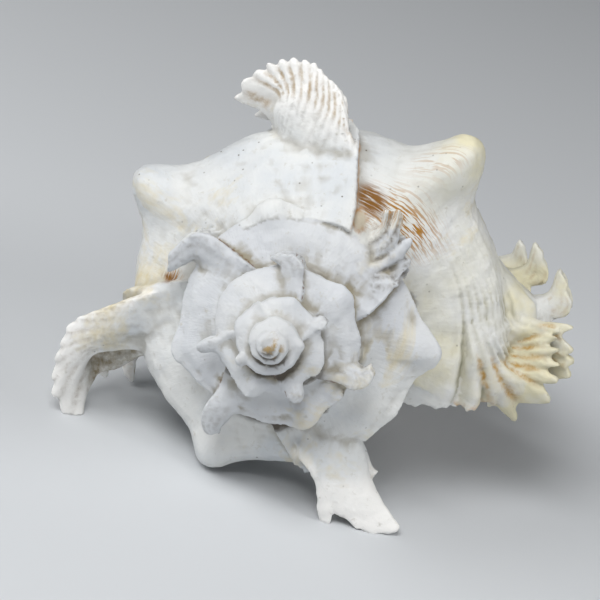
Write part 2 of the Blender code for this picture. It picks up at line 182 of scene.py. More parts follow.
def relief(angle, share):
    """Height in mm of the knobs, old lips and lip folds above the plain whorl."""
    height = np.zeros(angle.shape)
    for where, high in KNOBS:
        across = (share - SHOULDER) / np.where(share < SHOULDER, KNOB_RAMP, KNOB_SIDE)
        distance = np.hypot((angle - where) / (KNOB_DEGREES + 0.003 * where), across)
        height += high * (0.82 * blunt(distance) + 0.2 * blunt(distance / 2.0))
    back = spline(LIP_LINE, share)[..., 0]
    for edge in OLD_LIPS:
        behind = angle - edge - back
        slope = np.clip(1.0 - behind / RIDGE_SLOPE, 0.0, 1.0) ** 1.7
        high = RIDGE_HEIGHT if edge < 300.0 else OLDER_RIDGE_HEIGHT
        height += np.where(behind > 0.0, high * slope, 0.0) * np.clip((share - 0.02) / 0.08, 0.0, 1.0)
    # The older whorls' shoulders are sharper and their ramps hollow, most of all on the underside.
    older = np.clip((angle - 230.0) / 120.0, 0.0, 1.0) * (0.4 + 0.6 * underside(angle, 130.0, 290.0))
    keel = KEEL_HEIGHT * older * (1.0 + 0.5 * waver(angle / 40.0, 2.0)) * window(angle, 0.0, 1180.0, 160.0)
    height += (keel * np.exp(-((share - SHOULDER + 0.008) / 0.017) ** 2)
               - 1.2 * keel * window(share, 0.380, 0.50, 0.025))
    hollow = np.clip((angle - 260.0) / 60.0, 0.0, 1.0) * underside(angle, 120.0, 300.0)
    height -= HOLLOW_DEPTH * hollow * np.exp(-((share - 0.15) / 0.07) ** 2)
    # Folds run over the last eighth of a turn and spread out towards the lip.
    start, spacing = fold_lines(angle)
    fold = (share - start) / spacing
    fold_height = FOLD_HEIGHT + FOLD_GAIN * np.clip(-angle / 12.0, 0.0, 1.0)
    near_lip = np.clip((36.0 - angle) / 44.0, 0.0, 1.0)
    crest = np.abs(np.cos(np.pi * fold)) ** 0.8 - 0.5
    height += fold_height * near_lip * crest * window(fold, -0.8, 6.2, 1.2)
    # Past the folds the lip flares, and ends in a rough lobe like a thumb.
    flare = np.clip((14.0 - angle) / 13.0, 0.0, 1.0) ** 1.5 * window(angle, -10.0, 50.0, 6.0)
    height += FLARE_HEIGHT * flare * window(share, 0.395, 0.54, 0.07)
    # The first whorls are worn uneven.
    worn = WEAR * np.clip((angle - 400.0) / 500.0, 0.0, 1.0) * waver(angle / 43.0, 5.0)
    height += worn * window(share, 0.2, 0.6, 0.3)
    return height * radius_at(angle)


def closed_loft(loops):
    """A solid through closed loops (loops x points x 3), capped at both ends."""
    points = np.concatenate([loops, loops[:, :1]], axis=1)
    rows, columns = points.shape[:2]
    bm = bmesh.new()
    bmesh.ops.create_grid(bm, x_segments=columns - 1, y_segments=rows - 1, size=1.0)
    for vert, place in zip(bm.verts, points.reshape(-1, 3)):
        vert.co = place
    bmesh.ops.remove_doubles(bm, verts=bm.verts, dist=1e-5)
    bmesh.ops.holes_fill(bm, edges=[edge for edge in bm.edges if edge.is_boundary], sides=0)
    bmesh.ops.recalc_face_normals(bm, faces=bm.faces)
    mesh = bpy.data.meshes.new("growth")
    bm.to_mesh(mesh)
    bm.free()
    return mesh


# The older whorls are solid: their outer skin is closed along the axis. Each growth is kept as a mesh
# of its own until all are fused.
growths = []
angle, share = np.meshgrid(np.arange(CAVITY_END - OVERLAP, OLDEST_ANGLE, DEGREES_PER_STEP),
                           np.linspace(0.0, 1.0, PROFILE_STEPS), indexing="ij")
outer = on_whorl(angle, share, relief(angle, share))
core = outer[:, ::-8] * (0.02, 0.02, 1.0)
growths.append(closed_loft(np.concatenate([outer, core], axis=1)))

# The last whorl is open inside: a wall of the same white shell around the room that the animal lived
# in. It is thin at the lip, where it was still growing, and thick around the base.
LIP_WALL = 2.0
WALL_GAIN = 1.2
BASE_GAIN = 9.0
WALL_STEPS = 401
LIP_STEPS = 501
along, share = np.meshgrid(np.linspace(0.0, 1.0, WALL_STEPS), np.linspace(0.0, 1.0, LIP_STEPS),
                           indexing="ij")
lip = LIP_EDGE + spline(LIP_LINE, share)[..., 0]
scallops = 0.9 * waver(share * 22.0, 1.0) + 1.1 * np.abs(np.sin(share * 130.0))
lip += scallops * window(share, 0.06, 0.9, 0.1)
angle = lip + (CAVITY_END - lip) * along
outer = on_whorl(angle, share, relief(angle, share))
wall = LIP_WALL + WALL_GAIN * np.clip((angle - lip) / 25.0, 0.0, 1.0)
wall += BASE_GAIN * np.clip((share - 0.78) / 0.17, 0.0, 1.0)
inner = on_whorl(angle, share, 0.35 * relief(angle, share) * window(angle, -60.0, 30.0, 20.0) - wall)
growths.append(closed_loft(np.concatenate([outer, inner[::-1]]).swapaxes(0, 1)))

# The pillar inside, the siphonal canal and the broken ends of two older canals, all grown of the same
# shell. The canal is a tube with a slit along the side of the mouth: its outer and inner radius and
# half the slit's angle are given at each point.
COLUMELLA_PATH = ((0, 0, -62), (0, 0, -85), (-1, -2, -106), (-3, -4, -126), (-6, -7, -144),
                  (-5, -11, -160))
COLUMELLA_RADII = (19.0, 13.0, 10.5, 9.5, 6.5, 4.0)
CANAL_PATH = ((8, -6, -122), (8, -7, -132), (5, -8, -144), (3, -8, -158), (1, -7, -174),
              (-2, -3, -190), (-6, 5, -207))
CANAL_RADII = ((24.0, 23.0), (20.0, 16.0), (15.5, 10.5), (12.5, 6.5), (10.5, 4.5), (8.8, 3.5),
               (7.0, 2.6))
CANAL_SLIT = (112.0, 92.0, 60.0, 32.0, 22.0, 20.0, 22.0)
MOUTH_BEARING = math.radians(-115.0)
OLD_CANALS = ((((0, 4, -112), (-6, 6, -134), (-15, 9, -152), (-25, 11, -163)), (10.0, 8.5, 6.5, 4.0)),
              (((0, 0, -92), (-8, -4, -110), (-17, -8, -122), (-27, -12, -128)), (10.0, 8.0, 6.0, 3.5)))
ROUND_STEPS = 48
STEPS_PER_POINT = 20
CANAL_STEPS = 120
CANAL_ROUND_STEPS = 65


def rings(path, front, turns):
    """Centres along a path and, around each, unit vectors at the turns from the front."""
    at = np.linspace(0.0, 1.0, len(turns))
    centres = even_spline(path, at)
    heading = unit(np.gradient(centres, axis=0))
    ahead = unit(front - heading * (heading @ front)[:, None])
    side = np.cross(heading, ahead)
    spokes = ahead[:, None] * np.cos(turns)[..., None] + side[:, None] * np.sin(turns)[..., None]
    return at, centres[:, None], spokes


def rod(path, radii):
    turns = np.tile(np.arange(ROUND_STEPS) * 2 * np.pi / ROUND_STEPS, (STEPS_PER_POINT * len(path), 1))
    at, centres, spokes = rings(path, np.array((0.0, -1.0, 0.0)), turns)
    return closed_loft(centres + spokes * even_spline(radii, at)[:, None])


growths.append(rod(COLUMELLA_PATH, COLUMELLA_RADII))
growths += [rod(path, radii) for path, radii in OLD_CANALS]
gap = even_spline(CANAL_SLIT, np.linspace(0.0, 1.0, CANAL_STEPS))
turns = np.radians(gap + (360.0 - 2 * gap) * np.linspace(0.0, 1.0, CANAL_ROUND_STEPS))
to_mouth = np.array((math.cos(MOUTH_BEARING), math.sin(MOUTH_BEARING), 0.0))
at, centres, spokes = rings(CANAL_PATH, to_mouth, turns)
radii = even_spline(CANAL_RADII, at)[:, None]
outer = centres + spokes * radii[..., :1]
inner = centres + spokes * radii[..., 1:]
growths.append(closed_loft(np.concatenate([outer, inner[:, ::-1]], axis=1)))

# The large fronds grow from the shoulders of the lips: thin sheets of shell folded to a trough, fluted
# like a fan, with a toothed rim. Each rib is its place across the sheet, from the apex side to the
# canal side, and its points from root to rim in mm back, out and up.
TOP_RIBS = ((0, ((-14, -13, 9), (-12.5, -8, 9), (-10.5, -4, 9), (-8.5, 0, 9))),
            (0.12, ((-9, -11, 8), (-9.5, -4, 9), (-8.5, 3, 9), (-6.8, 10.5, 9))),
            (0.23, ((3, -9, 6), (0, -1, 8), (-2.5, 7.5, 8.5), (-1.5, 15.5, 8.5))),
            (0.33, ((8, -7, 4), (6, 1.5, 6.5), (4.5, 10.5, 7), (6, 19, 7))),
            (0.42, ((10, -5, 2), (9.5, 2.7, 4.5), (10, 10, 5), (16, 16, 5))),
            (0.47, ((11, -4, 0), (11.3, 3, 2.5), (12.6, 8, 3), (22, 10.5, 2.5))),
            (0.5, ((12, -3, -2), (13.5, 1.2, -1.5), (17.5, 4, -1), (24, 5.5, -0.5))))
LEFT_RIBS = ((0, ((-10, -12, 9), (-10, -9, 9), (-9.5, -6, 9), (-9, -3, 9))),
             (0.12, ((-6, -10, 8), (-7, -3, 8.5), (-6, 3, 8.5), (-5.5, 8, 8))),
             (0.22, ((-1, -8, 6), (-2.5, 1, 7.5), (-2, 9, 7.5), (-1.5, 17, 7))),
             (0.30, ((2.5, -6, 4.2), (1.6, 5, 6), (3, 13, 6), (6.5, 21.5, 5))),
             (0.36, ((4.5, -5, 3), (3.2, 5.7, 5), (5.5, 14.5, 5), (12.5, 23.8, 3.5))),
             (0.41, ((6, -4, 2.5), (4.5, 6.5, 4), (7.5, 15.5, 4), (18.5, 24.6, 2.5))),
             (0.46, ((8, -3, 1), (6.3, 7.5, 1.5), (9.5, 15, 1), (25.5, 22.2, -0.5))),
             (0.50, ((7, -3, -3.5), (3.8, 6.5, -5), (7.5, 13.8, -5), (28.6, 19.4, -2))),
             (0.55, ((10, -2.5, -6), (12.8, 8, -6.5), (15.5, 15, -6.5), (26.5, 19.2, -4))),
             (0.61, ((6.5, -3.2, -8.5), (8, 5.6, -9.5), (11, 13, -9.5), (17, 20, -7))),
             (0.68, ((4, -4.8, -10), (3.6, 4, -11), (5, 10.4, -11), (7.5, 16.8, -9))),
             (0.77, ((1, -6.4, -12), (-0.8, 1, -12.5), (-0.3, 7.2, -12.5), (0.3, 13.6, -11))),
             (0.88, ((-3.3, -8, -14), (-4.3, -2.4, -13.5), (-3.3, 2.4, -13.5), (-2.8, 6.4, -12))),
             (1, ((-6.5, -9.6, -15), (-6.5, -7.2, -14), (-6, -4.8, -14), (-5.5, -2.4, -13))))
BOTTOM_RIBS = ((0, ((-8, -9, 7), (-8.5, -6, 7), (-9, -3.5, 7), (-9, -2, 7))),
               (0.1, ((-5, -8, 6.5), (-6.5, -3, 6.5), (-7, 3, 6.5), (-7, 8, 5.5))),
               (0.16, ((-3, -8, 5.5), (-5.5, 1, 6), (-7, 9, 5.5), (-10.2, 18.6, 3.5))),
               (0.21, ((-2, -7, 5), (-5, 2, 6), (-6.5, 10, 5.5), (-8.8, 18.8, 3.5))),
               (0.26, ((0, -7, 4.5), (-3, 3, 5.5), (-4.5, 10, 5), (-6, 16, 3.5))),
               (0.33, ((2, -6, 3.5), (-0.5, 4.5, 4.5), (-2, 11, 4), (-3.3, 19.5, 3))),
               (0.4, ((4, -5, 2.5), (1.5, 5, 3), (0.5, 13, 3), (-0.6, 23.5, 2))),
               (0.46, ((5.5, -4, 1), (4, 6, 1.5), (3.5, 14, 1.5), (3.6, 26.3, 0.5))),
               (0.5, ((7.5, -2.5, -1.5), (5.6, 6, -1.5), (5.2, 14, -1.5), (8.7, 26.5, -1))))
# The lip's frond: the fold that each rib follows, and its rim point, then whole ribs below it.
LIP_FRONT = -15.0
LIP_FOLDS = 12
LIP_FAN = ((0.0, (-12.0, -0.5, -3)), (0.5, (-12.8, 2.6, -3)), (1.0, (-14.2, 7.6, -4)),
           (1.5, (-10.4, 8.4, -2)), (2.0, (-6.0, 15.4, -1)), (2.5, (-1.8, 13.8, 1)),
           (3.0, (0.6, 15.4, 2)), (3.5, (2.9, 14.4, 2.2)), (4.0, (5.0, 14.8, 2.5)),
           (4.5, (7.0, 13.6, 2.5)), (5.0, (8.9, 13.6, 2.5)), (5.5, (10.3, 12.4, 2.0)),
           (6.0, (11.8, 12.2, 1.5)), (6.6, (13.0, 10.5, 0.5)))
LIP_UNDER = ((7.2, ((12, -4, -1.5), (11, 1.5, -1.5), (12.5, 8, -1.0), (14.2, 12.6, -0.2))),
             (8.0, ((14, -3, -4), (13, 2, -3), (13.8, 9, -2), (15.2, 15.2, -1.0))),
             (9.0, ((12, -2.5, -6), (11, 2.5, -5), (9.8, 10, -3), (9.2, 17.2, -1.0))),
             (10.0, ((9, -2, -9), (8, 2, -8.5), (6.9, 10, -5), (5.8, 18.1, -2.0))),
             (11.0, ((5, -2, -12), (4, 2, -11), (3, 10, -7), (1.3, 18.2, -2.5))),
             (12.0, ((-8, -2, -16), (-9, 0, -16.5), (-10, 3, -15), (-10, 6, -10))))
UPPER_RIBS = ((0, ((-5, -10, 5), (-6, -9, 5), (-7, -8, 4.5), (-7, -7, 4))),
              (0.10, ((-2, -9, 4.5), (-4, -6, 4.5), (-5, -4, 4), (-4.5, -1.5, 4))),
              (0.18, ((0, -8, 4), (-2, -3.5, 4.5), (-3.2, 0, 4), (-2.4, 6.0, 3.5))),
              (0.23, ((1, -7, 3), (-0.5, -3, 3), (-1.2, 0.5, 2.5), (0.2, 2.8, 2.5))),
              (0.30, ((2.5, -6, 3.5), (1.2, -2, 4.5), (1.2, 3, 5), (2.8, 9.0, 5))),
              (0.36, ((4, -5.5, 2), (3, -2, 2.5), (3.2, 2, 3), (5.2, 4.8, 3))),
              (0.42, ((5, -5, 1.5), (4.2, -0.5, 3.5), (5, 4.5, 5), (10.2, 10.8, 5.5))),
              (0.46, ((6.5, -4, 0.5), (6, 0, 2.5), (7, 4, 4), (11.6, 9.6, 5))),
              (0.5, ((8, -3, -1), (8.5, 1, 1), (9.5, 4, 2.5), (13.0, 6.8, 4))))
ROOT_DEPTH = 1.6
STEPS_PER_FOLD = 12
LENGTH_STEPS = 81
LAMELLAE = 9.0


def above_root(points, angle):
    """Lifts the points of a frond that lie deeper in the whorl's wall than a root does."""
    share = np.linspace(0.0, 1.0, 161)
    turn = np.degrees(np.arctan2(points[..., 1], points[..., 0]))
    size = radius_at(angle + (turn - angle + 180.0) % 360.0 - 180.0)
    here = np.stack([np.hypot(points[..., 0], points[..., 1]), -points[..., 2]], -1)
    offset = here[..., None, :] - even_spline(PROFILE, share) * size[..., None, None]
    nearest = np.argmin(np.linalg.norm(offset, axis=-1), axis=-1)
    normal = outward(share)[nearest]
    depth = -np.sum(np.take_along_axis(offset, nearest[..., None, None], -2)[..., 0, :] * normal, -1)
    moved = normal * np.maximum(depth - ROOT_DEPTH, 0.0)[..., None]
    turn = np.radians(turn)
    return points + np.stack([moved[..., 0] * np.cos(turn), moved[..., 0] * np.sin(turn), -moved[..., 1]], -1)


def local_axes(angle):
    """The directions back along the whorl, outward, and up to the apex, at an angle."""
    turn = math.radians(angle)
    return np.array(((-math.sin(turn), math.cos(turn), 0.0), (math.cos(turn), math.sin(turn), 0.0),
                     (0.0, 0.0, 1.0)))


leaf_points = []
leaf_marks = []


def frond(angle, share, ribs, folds, fold_height, teeth, thickness, stains, fan=False):
    """A fluted sheet from the ribs, smooth at the bottom of its trough; its points are kept too.

    Its thickness goes from root to rim, and its stains are how much ochre it holds and how much grimy grey
    and painted shade lie in its grooves. Only the lip's fan has even, pointed flutes that start at its root.
    """
    across = np.linspace(0.0, 1.0, folds * STEPS_PER_FOLD + 1)
    along = np.linspace(0.0, 1.0, LENGTH_STEPS)
    table = np.array([[(place, *point) for point in points] for place, points in ribs])
    lines = np.stack([spline(table[:, i], across) for i in range(table.shape[1])])
    flute = folds * across + (0.0 if fan else 0.25) * waver(across * 4.0, angle)
    ridge = np.abs(np.cos(np.pi * flute)) ** 0.6
    reach = teeth * (np.abs(np.cos(np.pi * flute)) ** (3.0 if fan else 1.0) - 0.6)
    reach *= 1.0 + 0.5 * waver(across * folds * 0.4, angle + 2.0)
    lines[-1] += unit(lines[-1] - lines[-2]) * (reach * np.sin(np.pi * across) ** 0.3)[:, None]
    points = even_spline(lines, along).reshape(len(along), len(across), 3)
    bottom = 0.6 if fan else 0.5
    deep = fold_height * np.clip(np.abs(across - bottom) / 0.05 - 0.3, 0.0, 1.0)
    fade = along**0.5 if fan else window(along, 0.62, 2.0, 0.6)
    lift = deep[None, :] * (ridge[None, :] - 0.6) * fade[:, None]
    lamella = along[:, None] * LAMELLAE + 0.5 * waver(across * 5.0, angle + 4.0)[None, :]
    lift += 0.16 * (1.0 - lamella % 1.0) * window(along, 0.2, 2.0, 0.3)[:, None]
    root = on_whorl(np.array(float(angle)), np.array(share), np.array(0.0))
    points = above_root(root + points @ local_axes(angle), angle)
    leaf_points.append(points.reshape(-1, 3))
    marks = np.broadcast_arrays(along[:, None], flute[None, :], ridge[None, :], *stains)
    leaf_marks.append(np.stack(marks, -1).reshape(-1, 5))
    normals = normal_of(points)
    half = (thickness[0] + (thickness[1] - thickness[0]) * along)[:, None] / 2
    front = points + normals * (half * np.clip(0.2 + along[:, None] * 3.0, 0.0, 1.0) + lift)[..., None]
    rear = points - normals * (half - 0.6 * lift)[..., None]
    return closed_loft(np.concatenate([front, rear[::-1]]).swapaxes(0, 1))


def mirrored(ribs):
    """Adds the canal-side wall: the apex-side ribs turned over about the bottom, set back and lower."""
    bottom = np.array(ribs[-1][1], float)
    lower = []
    for place, points in reversed(ribs[:-1]):
        points = np.array(points, float)
        points[:, 0] += 3.5 * (1.0 - 2.0 * place)
        points[:, 1] *= 0.80
        points[:, 2] = 2 * bottom[:, 2] - points[:, 2]
        lower.append((1.0 - place, points))
    return tuple(ribs) + tuple(lower)


def lip_ribs():
    """The lip frond's ribs in its own axes: along the folds on the whorl, then out to the rim."""
    root = on_whorl(np.array(LIP_FRONT), np.array(SHOULDER), np.array(0.0))
    ribs = []
    for fold, rim in LIP_FAN:
        last = LIP_FRONT + 1.6 * max(fold - 3.0, 0.0)
        turn = np.array((1.0, (1.0 + last) / 2, last))
        start, spacing = fold_lines(turn)
        on = on_whorl(turn, start + fold * spacing, np.array((-1.2, 0.0, 0.9)))
        ribs.append((fold / LIP_FOLDS, (*((on - root) @ local_axes(LIP_FRONT).T), rim)))
    return tuple(ribs) + tuple((fold / LIP_FOLDS, points) for fold, points in LIP_UNDER)


growths.append(frond(83.0, SHOULDER, mirrored(TOP_RIBS), folds=34, fold_height=1.0, teeth=1.5,
                     thickness=(3.0, 1.3), stains=(0.7, 0.3)))
growths.append(frond(184.0, SHOULDER, LEFT_RIBS, folds=22, fold_height=0.25, teeth=1.3,
                     thickness=(3.0, 1.3), stains=(0.15, 0.3)))
growths.append(frond(290.0, SHOULDER, mirrored(BOTTOM_RIBS), folds=14, fold_height=0.3, teeth=0.8,
                     thickness=(3.0, 1.4), stains=(0.0, 0.0)))
growths.append(frond(LIP_FRONT, SHOULDER, lip_ribs(), folds=LIP_FOLDS, fold_height=1.6, teeth=2.8,
                     thickness=(2.4, 1.6), stains=(1.0, 0.1), fan=True))
growths.append(frond(392.0, SHOULDER, mirrored(UPPER_RIBS), folds=20, fold_height=0.5, teeth=0.8,
                     thickness=(2.4, 1.1), stains=(0.0, 1.0)))


# The smaller fronds and spines, on the older shoulders and down the side of the lips: horns of thin
# shell, rolled to a trough. Each has its angle and share of the profile, then how far its tip stands
# out, lies back and stands up in mm, and its width.
SMALL_FRONDS = ((494, SHOULDER, 5.0, 12.5, 2.0, 10.5), (592, SHOULDER, 9.8, 4.0, -1.5, 8.0),
                (690, SHOULDER, 4.5, 5.5, 1.5, 7.0), (797, SHOULDER, 2.2, 6.5, 2.0, 7.0),
                (908, SHOULDER, 5.2, 1.0, 0.3, 3.8), (1009, SHOULDER, 4.2, 0.3, -1.2, 4.4),
                (1100, SHOULDER, 2.6, 0.6, 0.4, 3.6), (1290, SHOULDER, 1.6, 0.6, 0.0, 2.6),
                (-3, 0.50, 16.0, 13.5, 3.0, 10.0), (1, 0.643, 15.2, 12.5, 4.5, 9.5),
                (3, 0.72, 18.5, 9.5, 4.0, 7.0), (94, 0.50, 5.0, 10.5, 0.0, 6.5), (96, 0.62, 12, 8, 1, 7),
                (98, 0.73, 13, 7, 1, 6), (191, 0.50, 16.4, 10.6, 0.5, 6.0), (196, 0.62, 17.3, 10.6, 1, 5.5),
                (200, 0.73, 11, 7, 1, 5), (293, 0.50, 13.5, 3.5, 1.0, 6.5), (298, 0.62, 5, 4, 1, 5),
                (302, 0.73, 4.5, 4, 1, 4.5))


def small_frond(angle, share, out, back, up, width):
    """A horn folded to a trough that opens towards the lip and bends back, with scalloped rims."""
    path = np.array(((0.0, -0.35 * width, 0.0), (0.02 * back, 0.4 * out, 0.1 * up),
                     (0.3 * back, 0.85 * out, 0.5 * up), (back, out, up)))
    worn = angle > 300.0
    narrowing = 0.78 if worn else 0.66
    scallop_depth = 0.04 if worn else 0.7
    ribs = []
    for place in np.linspace(0.0, 1.0, 9):
        open_side = math.sin(math.pi * place)
        at = np.linspace(0.0, 0.85 + 0.15 * open_side, 25)
        centre = even_spline(path, at)
        heading = unit(np.gradient(centre, axis=0))
        outside = np.stack([-heading[:, 1], heading[:, 0], 0.0 * at], -1)
        taper = width * (1.0 - narrowing * at**1.6)
        scallop = scallop_depth * (np.abs(np.sin(np.pi * 3.6 * at)) ** 0.7 - 0.5) * (at > 0.25)
        scallop *= (1.0 - open_side) ** 2
        depth = taper * (0.5 - 0.95 * open_side**1.3 + scallop)
        upward = 0.55 * taper * math.copysign(abs(math.cos(math.pi * place)) ** 0.6, 0.5 - place)
        ribs.append((place, centre + outside * depth[:, None] + np.array((0.0, 0.0, 1.0)) * upward[:, None]))
    return frond(angle, share, ribs, folds=8, fold_height=0.05 * width, teeth=0.04 * width,
                 thickness=(2.2, 1.0), stains=(0.0, 0.35) if worn else (0.3, 0.1))


growths += [small_frond(*row) for row in SMALL_FRONDS]

# All the growths are fused to one skin of small voxels, because the real shell has no joints. The
# fronds' roots are smoothed into it, growth lines, spiral threads and weathered lumps are raised on
# it, and it is thinned.
VOXEL = 0.55
TRIANGLES = 198000
SPECK_VERTICES = 200
whole = bmesh.new()
for mesh in growths:
    whole.from_mesh(mesh)
    bpy.data.meshes.remove(mesh)
joined = bpy.data.meshes.new("growths")
whole.to_mesh(joined)
whole.free()
holder = bpy.data.objects.new("growths", joined)
bpy.context.scene.collection.objects.link(holder)
remesh = holder.modifiers.new("Fuse", "REMESH")
remesh.mode = "VOXEL"
remesh.voxel_size = VOXEL
skin = bpy.data.meshes.new_from_object(holder.evaluated_get(bpy.context.evaluated_depsgraph_get()))
holder.modifiers.clear()
holder.data = skin


def vertex_array(mesh, field):
    values = np.empty(len(mesh.vertices) * 3, np.float32)
    mesh.vertices.foreach_get(field, values)
    return values.reshape(-1, 3).astype(float)


# The profile as turns around a hub inside it, so that a point's share can be looked up.
HUB = np.array((0.30, 1.35))
profile_shares = np.linspace(0.0, 1.0, 701)
profile_table = even_spline(PROFILE, profile_shares) - HUB
table_turn = np.degrees(np.arctan2(profile_table[:, 1], profile_table[:, 0]))
table_reach = np.linalg.norm(profile_table, axis=1)


def in_profile(here):
    """The profile's share in the direction of a point from the hub, and how far it lies outside."""
    here = here - HUB
    share = np.interp(np.degrees(np.arctan2(here[:, 1], here[:, 0])), table_turn, profile_shares)
    return share, np.linalg.norm(here, axis=1) - np.interp(share, profile_shares, table_reach)


def whorl_place(points):
    """The growth angle, the profile's share and the height in mm of points near the whorls."""
    distance = np.hypot(points[:, 0], points[:, 1])
    around = (np.degrees(np.arctan2(points[:, 1], points[:, 0])) + 30.0) % 360.0 - 30.0
    best = np.full((len(points), 3), 1e9)
    for turn in range(7):
        angle = around + 360.0 * turn
        size = radius_at(angle)
        here = np.stack([distance / size, -points[:, 2] / size], -1)
        share, height = in_profile(here)
        if turn == 0:
            # Where the ramp climbs, the share is found again from the place before the climb, and
            # what lies above the suture is left to the whorl before.
            for repeat in range(6):
                rise = np.stack([0.0 * angle, climb(angle, share)], -1)
                share = 0.5 * share + 0.5 * in_profile(here + rise)[0]
            climbed = climb(angle, share)
            rise = np.stack([0.0 * angle, climbed], -1)
            above = in_profile(here + rise)[1] + 9.0 * (share < SUTURE)
            height = np.where(climbed > 0.01, above, height)
        nearer = np.abs(height * size) < np.abs(best[:, 2])
        best[nearer] = np.stack([angle, share, height * size], -1)[nearer]
    return best


leaf_points = np.concatenate(leaf_points)
leaf_marks = np.concatenate(leaf_marks)
leaf_tree = kdtree.KDTree(len(leaf_points))
for i, point in enumerate(leaf_points):
    leaf_tree.insert(point, i)
leaf_tree.balance()


def leaf_place(points, height):
    """Nearness to a frond (0 to 1), then how far along it, its flute, ridge, ochre, and grimy grey with
    painted shade.
    """
    found = np.zeros((len(points), 6))
    for i in np.flatnonzero(height > 0.3):
        place, nearest, distance = leaf_tree.find(points[i])
        found[i, 0] = max(0.0, 1.0 - max(0.0, distance - 1.6) / 1.5)
        found[i, 1:] = leaf_marks[nearest]
    return found


def neighbour_mean(values, ends):
    """The mean of each vertex's neighbours, for values given per vertex."""
    first, second = ends.reshape(-1, 2).T
    total = np.stack([np.bincount(first, values[second, i], len(values))
                      + np.bincount(second, values[first, i], len(values)) for i in range(3)], -1)
    return total / np.bincount(ends, minlength=len(values))[:, None]


def edge_ends(mesh):
    ends = np.empty(len(mesh.edges) * 2, np.int32)
    mesh.edges.foreach_get("vertices", ends)
    return ends


# The fine relief: the growth lines' and growth steps' spacing in degrees and height in mm, how many
# threads run from the suture to the canal and their height, and the lumps' sizes and height. The
# roots of the fronds take so many passes of smoothing before it.
LINE_SPACING = 3.4
LINE_HEIGHT = 0.07
STEP_SPACING = 9.0
STEP_HEIGHT = 0.14
THREADS = 34.0
THREAD_HEIGHT = 0.10
LUMP_SIZE = 7.0
SMALL_LUMP_SIZE = 2.8
LUMP_HEIGHT = 0.45
ROOT_PASSES = 25
points = vertex_array(skin, "co")
place = whorl_place(points)
leaf = leaf_place(points, place[:, 2])
near_root = (leaf[:, 0] * window(leaf[:, 1], -1.0, 0.22, 0.3))[:, None]
ends = edge_ends(skin)
for repeat in range(ROOT_PASSES):
    points += (neighbour_mean(points, ends) - points) * near_root
skin.vertices.foreach_set("co", points.ravel())
skin.update()
normals = vertex_array(skin, "normal")
outside = np.clip(1.0 + place[:, 2] / 1.4, 0.0, 1.0)
size = radius_at(place[:, 0]) / SHOULDER_RADIUS
behind = place[:, 0] - spline(LIP_LINE, place[:, 1])[:, 0]
growth_lines = (waver(behind / LINE_SPACING + 0.3 * waver(place[:, 1] * 5.0, 1.0), 0.4) * LINE_HEIGHT
                + waver(behind / STEP_SPACING, 1.4) * STEP_HEIGHT)
threads = waver(place[:, 1] * THREADS + 0.2 * waver(behind / 30.0, 3.0), 2.0) * THREAD_HEIGHT
lumps = np.array([noise.noise(point / LUMP_SIZE) + 0.5 * noise.noise(point / SMALL_LUMP_SIZE)
                  for point in map(Vector, points)])
raised = ((growth_lines + threads) * size**0.5 + LUMP_HEIGHT * lumps) * outside
points += normals * raised[:, None]
skin.vertices.foreach_set("co", points.ravel())
decimate = holder.modifiers.new("Thin", "DECIMATE")
decimate.ratio = min(1.0, TRIANGLES / (2 * len(skin.polygons)))
mesh = bpy.data.meshes.new_from_object(holder.evaluated_get(bpy.context.evaluated_depsgraph_get()))
mesh.name = "murex_shell"
bpy.data.objects.remove(holder)

# Loose specks, left where two sheets nearly meet, are dropped.
bm = bmesh.new()
bm.from_mesh(mesh)
rest = set(bm.verts)
while rest:
    part = [rest.pop()]
    for vert in part:
        joined_to = {edge.other_vert(vert) for edge in vert.link_edges} & rest
        rest -= joined_to
        part.extend(joined_to)
    if len(part) < SPECK_VERTICES:
        bmesh.ops.delete(bm, geom=part, context="VERTS")
bm.to_mesh(mesh)
bm.free()

# The stains, tints and glaze of the real shell follow its growth, and so does the shade painted on it,
# so where each one lies is worked out from the place on the whorl or on the frond, and kept on the
# mesh for the material. Angles are in degrees, and shares are those of the profile. Dirt and painted
# shade lie where the surface is sunk below the same surface after so many passes of smoothing.
CAVITY_SHADE_PASSES = 14
points = vertex_array(mesh, "co")
place = whorl_place(points)
angle, share, height = place.T
leaf = leaf_place(points, height)
on_leaf, leaf_along, leaf_flute, leaf_ridge, leaf_ochre, leaf_grime_and_shade = leaf.T
groove = 1.0 - leaf_ridge
ends = edge_ends(mesh)
smoothed = points
for repeat in range(CAVITY_SHADE_PASSES):
    smoothed = neighbour_mean(smoothed, ends)
sunk = np.sum((smoothed - points) * vertex_array(mesh, "normal"), axis=1)
behind = angle - spline(LIP_LINE, share)[:, 0]
weathered = height > -1.0
masks = {"lining": window(height, -40.0, -1.6, 1.0) * window(angle, -60.0, 262.0, 10.0)}

# The edge of the newest old lip, and thin cracks along those of the spire.
masks["old_lip"] = window(behind, OLD_LIPS[0] - 0.5, OLD_LIPS[0] + 0.1, 0.5) * weathered
masks["crack"] = 0.0 * angle
for edge in OLD_LIPS[3:]:
    masks["crack"] = np.maximum(masks["crack"], window(behind, edge - 0.7, edge + 0.2, 0.5))

